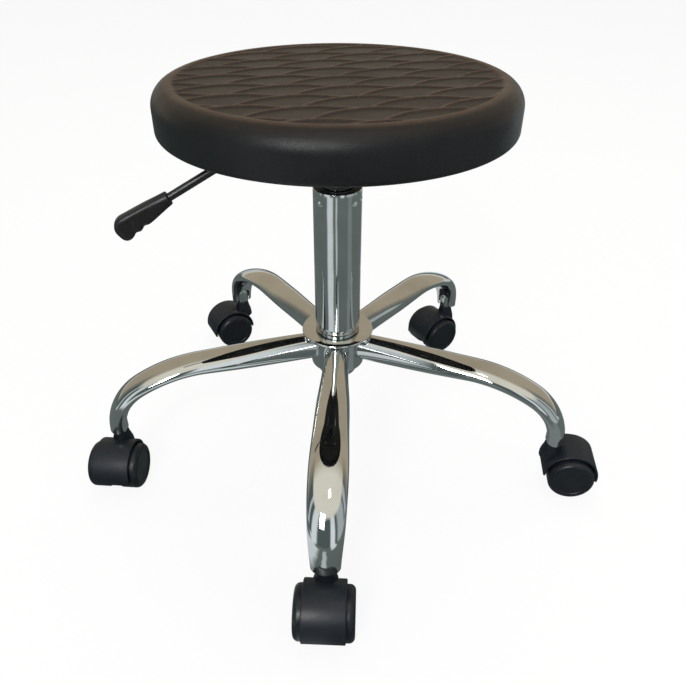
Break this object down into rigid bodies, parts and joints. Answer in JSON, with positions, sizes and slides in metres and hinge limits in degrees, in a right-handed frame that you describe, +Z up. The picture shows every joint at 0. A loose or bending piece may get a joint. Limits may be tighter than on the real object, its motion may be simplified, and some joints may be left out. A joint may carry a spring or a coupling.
{
  "type": "lab stool",
  "caption": "Round swivel lab stool with a moulded ribbed seat, gas lift with a side lever, chromed five-arm base and hooded twin-wheel casters.",
  "frame": {"origin": "on the floor, under the column's axis", "axes": "+Z up along the column, -Y along arm 1, +X to that arm's right seen from above with the arm pointing down"},
  "size_m": [0.5676, 0.5367, 0.424],
  "materials": {
    "chrome": "bright plated, mirror gloss",
    "zinc_steel": "zinc plated, semi-bright",
    "black_steel": "black powder coat, satin",
    "black_nylon": "moulded black nylon, satin",
    "grip_plastic": "moulded, fine grain",
    "brass": "machined",
    "buffer_rubber": "matt",
    "seat_foam": "moulded integral-skin polyurethane, satin with a fine leather grain",
    "plywood": "raw birch plywood"
  },
  "bodies": {
    "base": {"hub_sleeve": "chrome", "hub_plate": "chrome", "arm_1": "chrome", "arm_2": "chrome", "arm_3": "chrome", "arm_4": "chrome", "arm_5": "chrome", "stem_socket_1": "chrome", "stem_socket_2": "chrome", "stem_socket_3": "chrome", "stem_socket_4": "chrome", "stem_socket_5": "chrome", "caster_stem_1": "zinc_steel", "caster_stem_2": "zinc_steel", "caster_stem_3": "zinc_steel", "caster_stem_4": "zinc_steel", "caster_stem_5": "zinc_steel", "grip_rings": "zinc_steel", "column_tube": "chrome", "guide_bush": "black_nylon", "lower_race": "zinc_steel"},
    "bearing": {"ball_cage": "brass", "bearing_balls": "zinc_steel"},
    "rod": {"upper_race": "zinc_steel", "rubber_buffer": "buffer_rubber", "piston_rod": "zinc_steel", "piston": "brass", "retaining_clip": "zinc_steel"},
    "seat": {"pressure_tube": "chrome", "rod_gland": "black_nylon", "valve_body": "brass", "taper_socket": "black_steel", "seat_plate": "black_steel", "lever_pin": "zinc_steel", "seat_board": "plywood", "seat_pad": "seat_foam", "seat_screws": "zinc_steel"},
    "valve_pin": {"release_pin": "zinc_steel"},
    "lever": {"lever_rod": "black_steel", "lever_grip": "grip_plastic"},
    "caster_1": {"caster_hood_1": "black_nylon", "caster_axle_1": "zinc_steel"},
    "left_wheel_1": {"wheel_left_1": "black_nylon"},
    "right_wheel_1": {"wheel_right_1": "black_nylon"},
    "caster_2": {"caster_hood_2": "black_nylon", "caster_axle_2": "zinc_steel"},
    "left_wheel_2": {"wheel_left_2": "black_nylon"},
    "right_wheel_2": {"wheel_right_2": "black_nylon"},
    "caster_3": {"caster_hood_3": "black_nylon", "caster_axle_3": "zinc_steel"},
    "left_wheel_3": {"wheel_left_3": "black_nylon"},
    "right_wheel_3": {"wheel_right_3": "black_nylon"},
    "caster_4": {"caster_hood_4": "black_nylon", "caster_axle_4": "zinc_steel"},
    "left_wheel_4": {"wheel_left_4": "black_nylon"},
    "right_wheel_4": {"wheel_right_4": "black_nylon"},
    "caster_5": {"caster_hood_5": "black_nylon", "caster_axle_5": "zinc_steel"},
    "left_wheel_5": {"wheel_left_5": "black_nylon"},
    "right_wheel_5": {"wheel_right_5": "black_nylon"}
  },
  "joints": [
    {"name": "seat_swivel", "type": "hinge", "parent": "base", "child": "rod", "pos_m": [0, 0, 0.11], "axis": [0, 0, 1], "continuous": true},
    {"name": "bearing_turn", "type": "hinge", "parent": "base", "child": "bearing", "pos_m": [0, 0, 0.106], "axis": [0, 0, 1], "continuous": true},
    {"name": "seat_height", "type": "slide", "parent": "rod", "child": "seat", "axis": [0, 0, 1], "range_m": [0, 0.12]},
    {"name": "lever_lift", "type": "hinge", "parent": "seat", "child": "lever", "pos_m": [-0.03251, -0.00994, 0.3677], "axis": [-0.2924, 0.9563, 0], "range_deg": [0, 5], "stiffness_Nm_per_rad": 2, "springref_deg": -5.73},
    {"name": "valve_press", "type": "slide", "parent": "seat", "child": "valve_pin", "axis": [0, 0, -1], "range_m": [0, 0.0031]},
    {"name": "caster_swivel_1", "type": "hinge", "parent": "base", "child": "caster_1", "pos_m": [0, -0.255, 0.05], "axis": [0, 0, 1], "continuous": true},
    {"name": "left_wheel_spin_1", "type": "hinge", "parent": "caster_1", "child": "left_wheel_1", "pos_m": [0, -0.277, 0.025], "axis": [1, 0, 0], "continuous": true},
    {"name": "right_wheel_spin_1", "type": "hinge", "parent": "caster_1", "child": "right_wheel_1", "pos_m": [0, -0.277, 0.025], "axis": [1, 0, 0], "continuous": true},
    {"name": "caster_swivel_2", "type": "hinge", "parent": "base", "child": "caster_2", "pos_m": [0.24252, -0.0788, 0.05], "axis": [0, 0, 1], "continuous": true},
    {"name": "left_wheel_spin_2", "type": "hinge", "parent": "caster_2", "child": "left_wheel_2", "pos_m": [0.26444, -0.08072, 0.025], "axis": [0.0872, 0.9962, 0], "continuous": true},
    {"name": "right_wheel_spin_2", "type": "hinge", "parent": "caster_2", "child": "right_wheel_2", "pos_m": [0.26444, -0.08072, 0.025], "axis": [0.0872, 0.9962, 0], "continuous": true},
    {"name": "caster_swivel_3", "type": "hinge", "parent": "base", "child": "caster_3", "pos_m": [0.14988, 0.2063, 0.05], "axis": [0, 0, 1], "continuous": true},
    {"name": "left_wheel_spin_3", "type": "hinge", "parent": "caster_3", "child": "left_wheel_3", "pos_m": [0.13186, 0.19368, 0.025], "axis": [0.5736, -0.8192, 0], "continuous": true},
    {"name": "right_wheel_spin_3", "type": "hinge", "parent": "caster_3", "child": "right_wheel_3", "pos_m": [0.13186, 0.19368, 0.025], "axis": [0.5736, -0.8192, 0], "continuous": true},
    {"name": "caster_swivel_4", "type": "hinge", "parent": "base", "child": "caster_4", "pos_m": [-0.14988, 0.2063, 0.05], "axis": [0, 0, 1], "continuous": true},
    {"name": "left_wheel_spin_4", "type": "hinge", "parent": "caster_4", "child": "left_wheel_4", "pos_m": [-0.16894, 0.1953, 0.025], "axis": [0.5, -0.866, 0], "continuous": true},
    {"name": "right_wheel_spin_4", "type": "hinge", "parent": "caster_4", "child": "right_wheel_4", "pos_m": [-0.16894, 0.1953, 0.025], "axis": [0.5, -0.866, 0], "continuous": true},
    {"name": "caster_swivel_5", "type": "hinge", "parent": "base", "child": "caster_5", "pos_m": [-0.24252, -0.0788, 0.05], "axis": [0, 0, 1], "continuous": true},
    {"name": "left_wheel_spin_5", "type": "hinge", "parent": "caster_5", "child": "left_wheel_5", "pos_m": [-0.24329, -0.10079, 0.025], "axis": [0.9994, -0.0349, 0], "continuous": true},
    {"name": "right_wheel_spin_5", "type": "hinge", "parent": "caster_5", "child": "right_wheel_5", "pos_m": [-0.24329, -0.10079, 0.025], "axis": [0.9994, -0.0349, 0], "continuous": true}
  ],
  "couplings": [
    {"joint": "bearing_turn", "follows": "seat_swivel", "ratio": 0.5},
    {"joint": "valve_press", "follows": "lever_lift", "m_per_rad": 0.0345}
  ]
}
